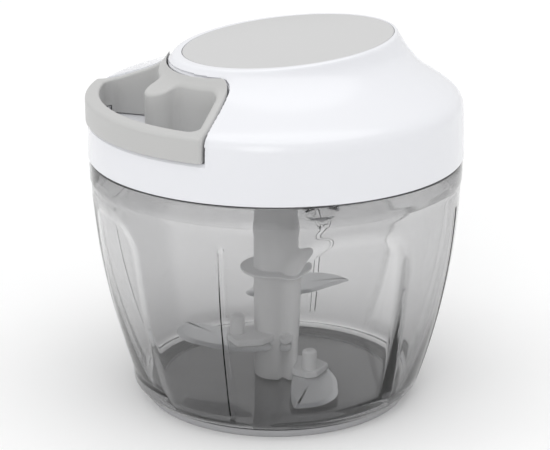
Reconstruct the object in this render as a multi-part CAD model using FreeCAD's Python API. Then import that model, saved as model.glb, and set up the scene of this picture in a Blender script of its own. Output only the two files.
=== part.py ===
import FreeCAD, Part
import math
import os

# Pull-cord food chopper. Millimetres, +Z up, origin at the middle of the foot, pull handle towards -Y.
# A lid with a recoil reel sits on a clear bowl. Pulling the handle turns the reel, the one-way hub
# and the three-bladed stem that stands on a steel pin in the bowl.
# Facings are degrees round +Z, counted from the handle side.

# ---- driving dimensions: bowl ----
BOWL_WALL = 2.4
COLLAR_R, COLLAR_Z, RIM_Z = 66.2, 82.3, 97.0      # thick shoulder of the bowl, its lower line, its mouth
RIM_R, MOUTH_R = 64.0, 62.3                       # the rim that stands up inside the lid
BODY_TOP_R, BODY_MID_R, BODY_LOW_R = 65.8, 61.2, 52.6
BODY_MID_Z, BODY_LOW_Z = 40.0, 7.5
FLOOR_Z, FLOOR_T, FLOOR_R = 3.4, 2.2, 46.0        # top of the bowl's floor, its thickness and its flat radius
CORNER = 5.0                                      # inner corner between floor and side
PANEL_COUNT, PANEL_AT, PANEL_HALF = 4, -3.5, 23.3
PANEL_TOP_Z, PANEL_LOW_Z, PANEL_DEPTH = 79.2, 7.0, 1.1
PANEL_ARCH, PANEL_TAPER = 18.0, 0.95              # height of the arch, and foot width over shoulder width
GROOVE_AT, GROOVE_TOP_Z, GROOVE_W, GROOVE_DEPTH = 46.8, 74.6, 2.3, 0.6
LUG_AT, LUG_W, LUG_Z, LUG_H = 76.6, 11.0, 84.5, 4.0
BOSS_R, BOSS_TOP_Z = 4.4, 6.8
PIN_R, PIN_TOP_Z = 2.5, 30.0

# ---- driving dimensions: lid ----
LID_Z, LID_R = 90.0, 66.7                         # lower edge of the lid's upright band
LID_WALL, LID_GAP = 2.2, 0.4                      # the wall, and the gap down to the bowl's shoulder
# Height, then reach to the rear, to each side and to the handle: a circle that narrows to an oval.
LID_SHAPE = ((107.0, 66.0, 66.0, 66.0), (110.0, 65.3, 65.2, 65.2), (112.3, 63.6, 63.0, 62.8),
             (114.6, 60.6, 57.5, 56.5), (117.0, 57.0, 50.6, 49.6), (120.0, 53.1, 43.8, 42.8),
             (123.5, 50.2, 38.2, 39.0), (126.1, 48.2, 35.8, 36.8), (129.0, 46.3, 34.6, 35.4),
             (131.5, 44.8, 34.0, 34.8), (136.0, 43.0, 33.4, 34.2))
PLATE_A, PLATE_B, PLATE_T = 38.4, 32.4, 1.6       # the top plate's half length, half width and thickness
PLATE_Z, PLATE_SHIFT, PLATE_TILT = 129.5, 4.9, 4.4
ROOF_DROP = 4.2                                   # from the plate's face down to the hollow of the lid
PLUG_R = MOUTH_R - 0.9
SCREW_FACING, SCREW_AT = (60, 120, 180, 240, 300), 54.0
SCREW_R, SCREW_HEAD_R, SCREW_SEAT_Z, SCREW_TIP_Z = 1.2, 2.7, 93.4, 99.9
POST_R = 3.4

# ---- driving dimensions: pull handle and cord ----
POCKET_Z = 103.0                                  # sill at the front of the handle's pocket
WELL_Z, SILL_R = 100.4, 60.6                      # the pocket's deeper floor, and where it meets the sill
POCKET_BACK, POCKET_EDGE = 38.2, (20.5, 31.1)     # middle and ends of the pocket's curved back
POCKET_SIDE, POCKET_OUT = (26.6, 31.3), (80.0, 83.7)
GRIP_GAP, GRIP_LIFT, GRIP_R = 0.7, 0.4, 67.1
# Radius and height of the handle's top face, which falls away from the lid's rim to the front.
GRIP_TOP = ((34.0, 129.5), (38.0, 124.8), (40.0, 122.0), (42.5, 119.8), (46.0, 118.0), (51.0, 116.1),
            (56.5, 114.0), (62.0, 112.6), (65.7, 112.0))
GRIP_EDGE_Z = 110.6
WELL_R, WELL_BACK_R, WELL_BACK_AT = 62.0, 36.6, 5.1
NOSE_R, NOSE_AT, NOSE_FLARE = 6.4, 43.4, 3.0
CORD_R, CORD_Z = 1.1, 109.8
EYE_Y, EYE_LIP_Y = -POCKET_BACK, -POCKET_BACK + LID_WALL
EYE_SEAT = 0.3  # how far the flange stands off the middle of the curved wall
KNOT_Y, KNOT_R, KNOT_ROOM_R = -43.8, 2.4, 3.0

# ---- driving dimensions: mechanism ----
RUN = 0.05                                        # radial clearance of a running fit
REEL_R, REEL_HUB_R, WIND_R = 26.0, 15.0, 20.0     # reel flange, its hub and the cord's working radius
REEL_Z, REEL_TOP_Z, ARBOR_R, ARBOR_TOP_Z = 105.2, 114.0, 6.6, 119.6
TEETH, TEETH_Z = 12, 102.4
AXLE_R, AXLE_Z = 2.5, 100.2
CASE_R, CASE_TOP, CASE_LOW_Z, CASE_WALL = 25.4, 121.6, 115.6, 1.4
CASE_FACING, CASE_AT, EAR_R, EAR_T = (45, 180, 315), 29.5, 3.2, 1.6
SPRING_TURNS, SPRING_IN, SPRING_PITCH, SPRING_T = 9, 7.2, 1.75, 0.34
BUSH_R, SLEEVE_R, SOCKET_R = 12.0, 10.0, 8.0
HUB_LOW_Z, HUB_Z, HUB_TOP_Z, HUB_R = 85.0, 98.9, 101.4, 16.5
PAWL_AT, PAWL_PIN_R, PAWL_Z, PAWL_TOP_Z = 12.5, 1.0, 101.6, 104.4

# ---- driving dimensions: blade set ----
STEM_R, STEM_LOW_Z, STEM_TOP_Z, STEM_HEX, HEX_Z = 8.1, 3.9, 94.5, 10.4, 84.0
STEM_BORE_R, STEM_BORE_TOP = 4.5, 62.0
COLLAR_RING_R, COLLAR_RING_Z = 13.0, 46.0
BLADE_T, BLADE_STEP, BLADE_LOW_Z = 1.0, 13.2, 5.6
BLADE_FACING = (116, 356, 236)                    # low, middle and high blade
ARM_T, PEG_AT, PEG_R, PEG_H, PEG_SHANK_R = 2.6, 15.3, 2.7, 7.4, 1.8

V = FreeCAD.Vector
UP = V(0, 0, 1)
FRONT = V(0, -1, 0)


# ---- helpers ----
def polar(radius, degrees, z=0.0):
    turn = math.radians(degrees - 90)
    return V(radius * math.cos(turn), radius * math.sin(turn), z)


def closed(points, place):
    """A closed wire; an item ("arc", a, b) makes the next edge an arc through that point."""
    edges, via, last = [], None, None
    for item in list(points) + [points[0]]:
        if item[0] == "arc":
            via = place(item[1], item[2])
            continue
        here = place(item[0], item[1])
        if last is not None:
            edges.append(Part.makeLine(last, here) if via is None else Part.Arc(last, via, here).toShape())
        via, last = None, here
    return Part.Wire(edges)


def lathe(points):
    """A solid turned about the Z axis from a closed outline of (radius, z)."""
    wire = closed(points, lambda r, z: V(r, 0, z))
    return Part.Face(wire).revolve(V(0, 0, 0), UP, 360)


def disc(radius, z0, z1, at=V(0, 0, 0)):
    return Part.makeCylinder(radius, z1 - z0, V(at.x, at.y, z0))


def tube(outer, inner, z0, z1):
    return disc(outer, z0, z1).cut(disc(inner, z0 - 1, z1 + 1))


def rod(radius, y0, y1):
    """A round bar along the cord's line, from y0 out to y1."""
    return Part.makeCylinder(radius, y0 - y1, V(0, y0, CORD_Z), FRONT)


def prism(face, z0, z1):
    base = face.copy()
    base.translate(V(0, 0, z0 - face.BoundBox.ZMin))
    return base.extrude(V(0, 0, z1 - z0))


def plan(points):
    return Part.Face(closed(points, lambda x, y: V(x, y, 0)))


def mirrored(points):
    """Adds the left half of an outline to its right half, which runs from the middle to the middle."""
    flipped = [("arc", -p[1], p[2]) if p[0] == "arc" else (-p[0], p[1]) for p in reversed(points)]
    return list(points) + flipped


def hexagon(across_flats, z0, z1):
    ring = [polar(across_flats / math.sqrt(3), 60 * k, z0) for k in range(6)]
    return Part.Face(Part.makePolygon(ring + ring[:1])).extrude(V(0, 0, z1 - z0))


def turned(shape, degrees):
    made = shape.copy()
    made.rotate(V(0, 0, 0), UP, degrees)
    return made


def screws(places, radius, head_r, head_z, seat_z, tip_z):
    """Identical cross-head screws standing upright with their heads below."""
    made = []
    for at in places:
        screw = disc(head_r, head_z, seat_z, at).fuse(disc(radius, seat_z, tip_z, at))
        for turn in (0, 90):
            slot = Part.makeBox(0.7 * head_r, 0.6, 0.7, V(-0.35 * head_r, -0.3, head_z - 0.1))
            slot = turned(slot, turn)
            slot.translate(V(at.x, at.y, 0))
            screw = screw.cut(slot)
        made.append(screw.removeSplitter())
    return Part.makeCompound(made)


def save(name, shape):
    assert shape.isValid(), name
    shape.exportStep("parts/" + name + ".step")
    print(f"{name:16s} solids {len(shape.Solids)}  volume {shape.Volume:10.1f} mm3")


# ---- bowl ----
def bowl_side(inset):
    """The bowl's side as (radius, z) from foot to shoulder, moved inwards by inset."""
    return [(BODY_LOW_R - 3.2 - inset, BODY_LOW_Z - 3.6), ("arc", BODY_LOW_R - 1.1 - inset, BODY_LOW_Z - 2.4),
            (BODY_LOW_R - inset, BODY_LOW_Z), ("arc", BODY_MID_R - inset, BODY_MID_Z),
            (BODY_TOP_R - inset, COLLAR_Z)]


def bowl_core(inset):
    return lathe([(0, 0), (FLOOR_R, 0)] + bowl_side(inset) + [(0, COLLAR_Z)])


def panels():
    """Four arched panels are sunk into the bowl's side, each reaching down to the foot."""
    half = BODY_MID_R * math.sin(math.radians(PANEL_HALF))
    spring_z = PANEL_TOP_Z - PANEL_ARCH
    arch = closed([(-PANEL_TAPER * half, PANEL_LOW_Z), (-half, spring_z),
                   ("arc", -0.8 * half, PANEL_TOP_Z - 0.3 * PANEL_ARCH), (0, PANEL_TOP_Z),
                   ("arc", 0.8 * half, PANEL_TOP_Z - 0.3 * PANEL_ARCH), (half, spring_z),
                   (PANEL_TAPER * half, PANEL_LOW_Z)], lambda x, z: V(x, -90, z))
    cutter = Part.Face(arch).extrude(V(0, 60, 0)).cut(bowl_core(PANEL_DEPTH))
    return [turned(cutter, PANEL_AT + 360 / PANEL_COUNT * k) for k in range(PANEL_COUNT)]


def bowl():
    shell = lathe([(0, FLOOR_Z - FLOOR_T), (FLOOR_R, FLOOR_Z - FLOOR_T)] + bowl_side(0)
                  + [(COLLAR_R, COLLAR_Z), (COLLAR_R, LID_Z - LID_GAP), (RIM_R, LID_Z - LID_GAP), (RIM_R, RIM_Z),
                     (0, RIM_Z)])
    for cutter in panels():
        shell = shell.cut(cutter)
    low = BODY_LOW_R - BOWL_WALL - 0.9
    shell = shell.cut(lathe([(0, FLOOR_Z), (low - CORNER, FLOOR_Z),
                             ("arc", low - 0.32 * CORNER, FLOOR_Z + 0.3 * CORNER), (low, FLOOR_Z + CORNER),
                             ("arc", BODY_MID_R - BOWL_WALL, BODY_MID_Z), (BODY_TOP_R - BOWL_WALL, COLLAR_Z - 1),
                             (MOUTH_R, COLLAR_Z + 1.6), (MOUTH_R, RIM_Z + 1), (0, RIM_Z + 1)]))
    slot = Part.makeBox(GROOVE_W, 60, GROOVE_TOP_Z - BODY_LOW_Z, V(-GROOVE_W / 2, -90, BODY_LOW_Z))
    slot = slot.cut(bowl_core(GROOVE_DEPTH))
    lug = Part.makeBox(LUG_W, 3.0, LUG_H, V(-LUG_W / 2, -MOUTH_R - 1.0, LUG_Z))
    for k in range(PANEL_COUNT):
        shell = shell.cut(turned(slot, GROOVE_AT + 90 * k))
        shell = shell.fuse(turned(lug, LUG_AT + 90 * k))
    shell = shell.fuse(disc(BOSS_R, FLOOR_Z - 0.5, BOSS_TOP_Z)).removeSplitter()
    return shell.cut(disc(PIN_R, FLOOR_Z - 0.6, BOSS_TOP_Z + 1))


def spindle_pin():
    pin = disc(PIN_R, FLOOR_Z - 0.6, PIN_TOP_Z)
    return pin.makeChamfer(0.6, [e for e in pin.Edges if abs(e.BoundBox.ZMin - PIN_TOP_Z) < 1e-3])


def foot_ring():
    """Soft ring under the bowl; its inner slope lies on the bowl's lower corner."""
    low = FLOOR_Z - FLOOR_T
    side = bowl_side(0)[0]
    share = 0.6
    lean = (FLOOR_R + share * (side[0] - FLOOR_R), low + share * (side[1] - low))
    return lathe([(42.5, 0.6), (43.1, 0), (47.2, 0), (48.2, 1.0), (48.2, 2.0), lean, (FLOOR_R, low), (42.5, low)])


# ---- lid ----
def lid_section(row, inset):
    z, rear, side, front = row
    length, middle = (rear + front) / 2 - inset, (rear - front) / 2
    ring = Part.Ellipse(V(0, middle + length, z), V(side - inset, middle, z), V(0, middle, z))
    return Part.Wire([ring.toShape()])


def lid_body(inset, drop=0.0):
    """The lid's outer form, or its hollow when inset and drop are the wall."""
    band_z, band_r = LID_SHAPE[0][:2]
    band = lathe([(0, LID_Z), (LID_R - inset, LID_Z), (band_r - inset, band_z), (0, band_z)])
    crown = Part.makeLoft([lid_section(row, inset) for row in LID_SHAPE], True, False, False, 3)
    form = band.fuse(crown).removeSplitter()
    above = Part.makeBox(200, 200, 40, V(-100, -100, 0))
    above.rotate(V(0, 0, 0), V(1, 0, 0), PLATE_TILT)
    above.translate(V(0, PLATE_SHIFT, PLATE_Z - drop))
    return form.cut(above)


def on_top(shape):
    """Lays a piece made round the origin on the lid's sloping top."""
    made = shape.copy()
    made.rotate(V(0, 0, 0), V(1, 0, 0), PLATE_TILT)
    made.translate(V(0, PLATE_SHIFT, PLATE_Z))
    return made


def oval(length, width, z0, z1):
    ring = Part.Ellipse(V(0, length, 0), V(width, 0, 0), V(0, 0, 0))
    return on_top(prism(Part.Face(Part.Wire([ring.toShape()])), z0, z1))


def pocket_plan(gap):
    """Plan of the handle's pocket, shrunk by gap: a curved back, two flared sides, open to the front."""
    (ax, ay), (bx, by), (cx, cy) = POCKET_EDGE, POCKET_SIDE, POCKET_OUT
    corner = ("arc", (ax + bx) / 2 + 0.1, -min(ay, by) + 1.15)
    face = plan([(-ax, -ay), ("arc", 0, -POCKET_BACK), (ax, -ay), corner, (bx, -by), (cx, -cy), (cx, -cy - 25),
                 (-cx, -cy - 25), (-cx, -cy), (-bx, -by), ("arc", -corner[1], corner[2])])
    return face if gap == 0 else face.makeOffset2D(-gap)


def pocket(wall=0.0):
    """The handle's pocket with its deep floor inside a raised sill, grown by a wall."""
    sill = prism(pocket_plan(-wall), POCKET_Z - wall, 150)
    return sill.fuse(prism(pocket_plan(-wall), WELL_Z - wall, 150).common(disc(SILL_R + wall, 80, 151)))


def lid_cover():
    shell = lid_body(0).cut(pocket())
    shell = shell.cut(lid_body(LID_WALL, ROOF_DROP).cut(pocket(LID_WALL)))
    shell = shell.cut(oval(PLATE_A + 0.15, PLATE_B + 0.15, -PLATE_T, 5))
    for facing in SCREW_FACING:
        at = polar(SCREW_AT, facing)
        post = disc(POST_R, SCREW_TIP_Z - 0.3, 122, at).common(lid_body(1.0))
        shell = shell.fuse(post)
        shell = shell.cut(disc(SCREW_R + 0.05, SCREW_TIP_Z - 1, SCREW_TIP_Z + 0.8, at))
    for facing in CASE_FACING:
        at = polar(CASE_AT, facing)
        post = disc(EAR_R, CASE_TOP - EAR_T + 1, 130, at).common(lid_body(1.0, 3.0))
        shell = shell.fuse(post).cut(disc(1.0, CASE_TOP - 1, CASE_TOP + 3, at))
    return shell.cut(rod(3.0, EYE_Y + 6, EYE_Y - 2))


def top_plate():
    return oval(PLATE_A, PLATE_B, -PLATE_T, 0)


def lid_base():
    """Closes the lid from below; its plug fits the bowl's mouth and its boss holds the hub's bush."""
    body = lathe([(BUSH_R, 84.5), (17.0, 84.5), (22.0, 92.0), (PLUG_R - 2.0, 92.0), (PLUG_R, 93.0),
                  (PLUG_R, RIM_Z + 0.1), (64.0, RIM_Z + 0.1), (64.0, 98.1), (PLUG_R - 2.0, 98.1),
                  (PLUG_R - 2.0, 94.0), (14.0, 94.0), (14.0, 98.4), (BUSH_R, 98.4)])
    body = body.cut(tube(PLUG_R + 1, PLUG_R - 0.8, 94.2, 96.4))
    for facing in SCREW_FACING:
        at = polar(SCREW_AT, facing)
        body = body.fuse(disc(POST_R, 93, SCREW_TIP_Z - 0.4, at))
        body = body.cut(disc(SCREW_R + 0.4, 90, 101, at)).cut(disc(SCREW_HEAD_R + 0.3, 91, SCREW_SEAT_Z, at))
    return body.removeSplitter()


def lid_seal():
    return lathe([(PLUG_R - 0.7, 94.3), (PLUG_R, 94.3), (MOUTH_R - 0.1, 95.0), (MOUTH_R - 0.1, 95.6),
                  (PLUG_R, 96.3), (PLUG_R - 0.7, 96.3)])


def lid_screws():
    places = [polar(SCREW_AT, facing) for facing in SCREW_FACING]
    return screws(places, SCREW_R, SCREW_HEAD_R, SCREW_SEAT_Z - 1.5, SCREW_SEAT_Z, SCREW_TIP_Z)


def hub_bush():
    return tube(BUSH_R - 0.02, SLEEVE_R + RUN, 84.6, 98.6)


def spring_case():
    """A cup over the recoil spring, hung from the lid's roof by three ears."""
    roof_z, inner = CASE_TOP - CASE_WALL, CASE_R - CASE_WALL
    cup = lathe([(AXLE_R, roof_z), (inner, roof_z), (inner, CASE_LOW_Z), (CASE_R, CASE_LOW_Z),
                 (CASE_R, CASE_TOP), (AXLE_R, CASE_TOP)])
    ear_z = CASE_TOP - EAR_T + 1 - EAR_T
    for facing in CASE_FACING:
        at = polar(CASE_AT, facing)
        arm = Part.makeBox(2 * EAR_R, 6.0, EAR_T, V(-EAR_R, -CASE_AT, ear_z))
        arm = turned(arm, facing).cut(disc(inner + 0.5, 100, 130))
        cup = cup.fuse([disc(EAR_R, ear_z, ear_z + EAR_T, at), arm]).cut(disc(1.2, 110, 130, at))
    return cup.removeSplitter()


def case_screws():
    places = [polar(CASE_AT, facing) for facing in CASE_FACING]
    seat_z = CASE_TOP - 2 * EAR_T + 1
    return screws(places, 0.95, 2.0, seat_z - 1.2, seat_z, CASE_TOP + 2.4)


def spring_cover():
    return tube(CASE_R - CASE_WALL - 0.1, ARBOR_R + 0.8, CASE_LOW_Z + 0.1, CASE_LOW_Z + 0.7)


def recoil_spring():
    """A flat spiral strip of half circles, from the reel's arbor out to the case."""
    low_z, half, sides = 117.0, SPRING_T / 2, []
    for edge in (-half, half):
        for k in range(2 * SPRING_TURNS):
            sign = 1 if k % 2 == 0 else -1
            near, far = SPRING_IN + k * SPRING_PITCH / 2, SPRING_IN + (k + 1) * SPRING_PITCH / 2
            centre, radius = sign * (near - far) / 2, (near + far) / 2 + edge
            ends = [V(centre + sign * radius, 0, low_z), V(centre - sign * radius, 0, low_z)]
            sides.append(Part.Arc(ends[0], V(centre, sign * radius, low_z), ends[1]).toShape())
    for r in (SPRING_IN, SPRING_IN + SPRING_TURNS * SPRING_PITCH):
        sides.append(Part.makeLine(V(r - half, 0, low_z), V(r + half, 0, low_z)))
    return Part.Face(Part.Wire(Part.__sortEdges__(sides))).extrude(V(0, 0, 2.8))


def reel_axle():
    return disc(AXLE_R, AXLE_Z, CASE_TOP - 0.2)


def cord_eyelet():
    """A lipped ring in the pocket's back wall, flared inside where the cord turns over it."""
    seat = EYE_LIP_Y + EYE_SEAT
    ring = rod(3.0, seat, EYE_Y).fuse(rod(4.0, EYE_LIP_Y + 1.2, seat))
    flare = Part.makeCone(3.6, CORD_R + 0.2, 2.8, V(0, EYE_LIP_Y + 1.21, CORD_Z), FRONT)
    return ring.cut(rod(CORD_R + 0.2, EYE_LIP_Y + 6, EYE_Y - 1)).cut(flare).removeSplitter()


# ---- cord ----
def cord_lead():
    """Leaves the winding at a tangent and turns over the eyelet's lip."""
    bend_y = EYE_LIP_Y + 0.6
    start = polar(WIND_R, -math.degrees(math.acos(WIND_R / -bend_y)), CORD_Z)
    bend = V(0, bend_y, CORD_Z)
    slant = Part.makeCylinder(CORD_R, (bend - start).Length, start, bend - start)
    return slant.fuse([Part.makeSphere(CORD_R, bend), rod(CORD_R, bend_y, EYE_Y)]).removeSplitter()


def cord_knot():
    return Part.makeSphere(KNOT_R, V(0, KNOT_Y, CORD_Z))


def cord_run():
    """From the eyelet to the knot in the handle; it is drawn out as the handle is pulled."""
    return rod(CORD_R, EYE_Y, KNOT_Y).cut(cord_knot())


def cord_winding():
    """The turns of cord on the reel as one ring."""
    return tube(WIND_R - CORD_R - 0.3, REEL_HUB_R + 0.02, 107.4, 112.2)


# ---- pull handle ----
def grip_crown():
    """The handle's top face as a turned form, rounded into its upright front."""
    skin = Part.BSplineCurve()
    skin.interpolate([V(r, 0, z) for r, z in GRIP_TOP])
    (in_r, in_z), (out_r, out_z) = GRIP_TOP[0], GRIP_TOP[-1]
    corner = [V(GRIP_R, 0, GRIP_EDGE_Z), V(GRIP_R, 0, WELL_Z), V(20, 0, WELL_Z), V(20, 0, in_z), V(in_r, 0, in_z)]
    rim = Part.Arc(V(out_r, 0, out_z), V(GRIP_R - 0.42, 0, out_z - 0.4), corner[0]).toShape()
    lines = [Part.makeLine(a, b) for a, b in zip(corner, corner[1:])]
    return Part.Face(Part.Wire([skin.toShape(), rim] + lines)).revolve(V(0, 0, 0), UP, 360)


def finger_well():
    """The opening that the fingers hook into, with the nose over the knot standing in its back edge."""
    flare_x = NOSE_R + NOSE_FLARE
    back = WELL_BACK_R + NOSE_FLARE
    flare_y = WELL_BACK_AT + math.sqrt(back ** 2 - flare_x ** 2)
    share = WELL_BACK_R / back
    foot = (flare_x * share, -WELL_BACK_AT - (flare_y - WELL_BACK_AT) * share)
    side = [("arc", flare_x - 0.9 * NOSE_FLARE, 0.45 * NOSE_FLARE - flare_y), foot,
            ("arc", 15.3, -WELL_BACK_AT - math.sqrt(WELL_BACK_R ** 2 - 15.3 ** 2)),
            (20.5, -WELL_BACK_AT - math.sqrt(WELL_BACK_R ** 2 - 20.5 ** 2)), ("arc", 23.7, -34.7),
            (26.2, -36.4), (35.4, -45.5), ("arc", 36.9, -48.2)]
    outer = (35.4, -math.sqrt(WELL_R ** 2 - 35.4 ** 2))
    right = [(NOSE_R, -flare_y)] + side + [outer]
    left = mirrored(right)[len(right):]
    return plan(right + [("arc", 0, -WELL_R)] + left + [("arc", 0, -NOSE_AT - NOSE_R)])


def pull_handle():
    body = prism(pocket_plan(GRIP_GAP), WELL_Z + GRIP_LIFT, 135).common(grip_crown())
    body = body.cut(tube(GRIP_R + 1, SILL_R - 0.6, WELL_Z, POCKET_Z + GRIP_LIFT))
    body = body.cut(prism(finger_well(), WELL_Z - 1, 140))
    body = body.cut(disc(KNOT_ROOM_R, WELL_Z, CORD_Z + 3.4, V(0, KNOT_Y, 0)))
    return body.cut(rod(CORD_R + 0.3, EYE_Y + 1, KNOT_Y)).removeSplitter()


def knot_plug():
    return disc(KNOT_ROOM_R - 0.02, WELL_Z + GRIP_LIFT + 0.2, WELL_Z + GRIP_LIFT + 2.0, V(0, KNOT_Y, 0))


# ---- reel and one-way hub ----
def cord_reel():
    """Cord drum with its ratchet teeth underneath and the spring's arbor on top."""
    bore = AXLE_R + RUN
    drum = lathe([(bore, REEL_Z), (REEL_R, REEL_Z), (REEL_R, REEL_Z + 2), (REEL_HUB_R, REEL_Z + 2),
                  (REEL_HUB_R, REEL_TOP_Z - 1.6), (REEL_R, REEL_TOP_Z - 1.6), (REEL_R, REEL_TOP_Z),
                  (ARBOR_R, REEL_TOP_Z), (ARBOR_R, ARBOR_TOP_Z), (bore, ARBOR_TOP_Z)])
    ring = tube(REEL_R - 1.0, 18.0, TEETH_Z, REEL_Z + 0.1)
    spots = [polar(17, 0), polar(22, 0), polar(18, 26), polar(17, 26)]
    notch = prism(plan([(p.x, p.y) for p in spots]), TEETH_Z - 1, REEL_Z)
    for k in range(TEETH):
        ring = ring.cut(turned(notch, 360 / TEETH * k))
    return drum.fuse(ring).removeSplitter()


def pawl_places():
    return [V(PAWL_AT, 0, 0), V(-PAWL_AT, 0, 0)]


def drive_hub():
    """Carries the pawls on a flange; its sleeve turns in the bush and holds the drive socket."""
    web = HUB_Z - 2.4
    body = lathe([(0, web), (SOCKET_R, web), (SOCKET_R, HUB_LOW_Z), (SLEEVE_R, HUB_LOW_Z), (SLEEVE_R, HUB_Z),
                  (HUB_R, HUB_Z), (HUB_R, HUB_TOP_Z), (0, HUB_TOP_Z)])
    body = body.cut(disc(AXLE_R + RUN, AXLE_Z - 0.3, HUB_TOP_Z + 1))
    for at in pawl_places():
        body = body.cut(disc(PAWL_PIN_R, HUB_TOP_Z - 1, HUB_TOP_Z + 1, at))
    return body


def drive_socket():
    """A tough insert pressed in the hub's sleeve, with the hexagon that takes the stem."""
    return disc(SOCKET_R - 0.02, HUB_LOW_Z + 0.2, HUB_Z - 2.5).cut(hexagon(STEM_HEX + 0.3, 84, 95.6))


def pawl_pins():
    return Part.makeCompound([disc(PAWL_PIN_R, HUB_TOP_Z - 1, PAWL_TOP_Z + 0.4, at) for at in pawl_places()])


def pawl(side):
    """A small lever whose tip stands in the reel's teeth."""
    lever = plan([(0, 1.9), ("arc", -1.9, 0), (0, -1.9), (4.9, -5.2), (5.8, -4.2), (2.2, 1.2)])
    made = prism(lever, PAWL_Z, PAWL_TOP_Z).cut(disc(PAWL_PIN_R + RUN, PAWL_Z - 1, PAWL_TOP_Z + 1))
    made.translate(V(PAWL_AT, 0, 0))
    return turned(made, side)


# ---- blade set ----
def blade_z(level):
    return BLADE_LOW_Z + BLADE_STEP * level


def blade_stem():
    """Hollow stem with a flange, three arms over the blades and a hexagonal head."""
    neck_r = 7.0
    body = lathe([(0, STEM_LOW_Z), (STEM_R, STEM_LOW_Z), (STEM_R, HEX_Z), (neck_r, HEX_Z + 0.6), (0, HEX_Z + 0.6)])
    body = body.fuse([hexagon(STEM_HEX, HEX_Z, STEM_TOP_Z), disc(COLLAR_RING_R, COLLAR_RING_Z, COLLAR_RING_Z + 1)])
    arm = plan([(-5.5, -2.0), (-4.2, -17.0), (-1.0, -19.4), (8.0, -18.2), (9.8, -9.6), (6.2, -2.0)])
    for level, facing in enumerate(BLADE_FACING):
        z = blade_z(level) + BLADE_T
        made = turned(prism(arm, z, z + ARM_T), facing)
        body = body.fuse(made).cut(disc(PEG_SHANK_R, z - 1, z + ARM_T + 1, polar(PEG_AT, facing)))
    body = body.cut(disc(STEM_BORE_R + RUN, STEM_LOW_Z - 1, STEM_BORE_TOP))
    return body.cut(disc(BOSS_R + 0.5, STEM_LOW_Z - 1, BOSS_TOP_Z + 0.6)).removeSplitter()


def blade(level):
    """A leaf of steel under the arm: a nearly straight leading edge and a round trailing one."""
    leaf = plan([(-4.0, -7.4), (-12.0, -12.0), (-24.6, -26.4), ("arc", -16.4, -33.0), (-2.0, -29.2),
                 ("arc", 7.6, -20.4), (12.6, -9.4), ("arc", 9.8, -5.6), (6.0, -5.4)])
    z = blade_z(level)
    plate = prism(leaf, z, z + BLADE_T).cut(disc(STEM_R + 0.02, z - 1, z + 3))
    return turned(plate.cut(disc(PEG_SHANK_R, z - 1, z + 3, V(0, -PEG_AT, 0))), BLADE_FACING[level])


def blade_peg(level):
    """A moulded peg over the arm whose shank holds the blade."""
    z = blade_z(level)
    top = z + BLADE_T + ARM_T
    at = V(0, -PEG_AT, 0)
    peg = disc(PEG_R, top, top + PEG_H, at)
    peg = peg.makeFillet(1.2, [e for e in peg.Edges if abs(e.BoundBox.ZMin - top - PEG_H) < 1e-3])
    return turned(peg.fuse(disc(PEG_SHANK_R - 0.02, z, top + 0.5, at)).removeSplitter(), BLADE_FACING[level])


def stem_bush():
    """A sleeve that stays on the pin while the stem turns round it."""
    return tube(STEM_BORE_R, PIN_R + RUN, BOSS_TOP_Z + 0.8, PIN_TOP_Z - 4)


# ---- write the files ----
os.makedirs("parts", exist_ok=True)
for make in (bowl, spindle_pin, foot_ring, lid_cover, top_plate, lid_base, lid_seal, lid_screws, hub_bush,
             spring_case, case_screws, spring_cover, recoil_spring, reel_axle, cord_eyelet, cord_lead,
             pull_handle, knot_plug, cord_knot, cord_run, cord_reel, cord_winding, drive_hub, drive_socket,
             pawl_pins, blade_stem, stem_bush):
    save(make.__name__, make())
for number, height in enumerate(("low", "middle", "high")):
    save("blade_" + height, blade(number))
    save("peg_" + height, blade_peg(number))
for letter, side in (("a", 0), ("b", 180)):
    save("pawl_" + letter, pawl(side))
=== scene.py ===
import math
import bpy
import numpy as np
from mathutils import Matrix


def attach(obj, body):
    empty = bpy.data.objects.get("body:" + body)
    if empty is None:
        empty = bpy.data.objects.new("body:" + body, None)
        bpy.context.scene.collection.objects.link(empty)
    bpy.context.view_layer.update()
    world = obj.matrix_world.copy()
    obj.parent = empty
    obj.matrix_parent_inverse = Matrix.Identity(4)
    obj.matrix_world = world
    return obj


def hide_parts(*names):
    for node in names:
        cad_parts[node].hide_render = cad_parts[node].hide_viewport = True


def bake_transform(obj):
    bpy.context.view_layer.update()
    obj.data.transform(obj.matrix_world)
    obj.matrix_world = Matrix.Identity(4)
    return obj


# A pull-cord food chopper: white lid, grey handle and plate, smoke-clear bowl with a bladed stem.
# Sizes below are millimetres; mm turns them to metres where a mesh is made.
# Angles called facing are degrees round +Z from the handle side, which looks along -Y.

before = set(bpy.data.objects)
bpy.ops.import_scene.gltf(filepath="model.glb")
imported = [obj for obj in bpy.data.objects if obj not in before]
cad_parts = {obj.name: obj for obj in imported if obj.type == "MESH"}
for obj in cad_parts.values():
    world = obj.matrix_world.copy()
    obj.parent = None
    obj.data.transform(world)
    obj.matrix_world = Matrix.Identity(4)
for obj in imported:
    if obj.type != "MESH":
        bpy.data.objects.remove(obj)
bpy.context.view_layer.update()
mm = 0.001


def linear(hexColour):
    # sRGB to linear: c / 12.92 when small, otherwise (c + 0.055) / 1.055 to the power 2.4
    parts = [int(hexColour[i:i + 2], 16) / 255 for i in (1, 3, 5)]
    return [c / 12.92 if c <= 0.04045 else ((c + 0.055) / 1.055) ** 2.4 for c in parts] + [1.0]


def addNode(tree, kind, settings=None, links=None):
    # one node; settings fill its properties or sockets, links feed its sockets from other outputs
    node = tree.nodes.new(kind)
    for key, value in (settings or {}).items():
        if isinstance(key, int) or key in node.inputs.keys():
            node.inputs[key].default_value = value
        else:
            setattr(node, key, value)
    for key, output in (links or {}).items():
        tree.links.new(output, node.inputs[key])
    return node


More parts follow.
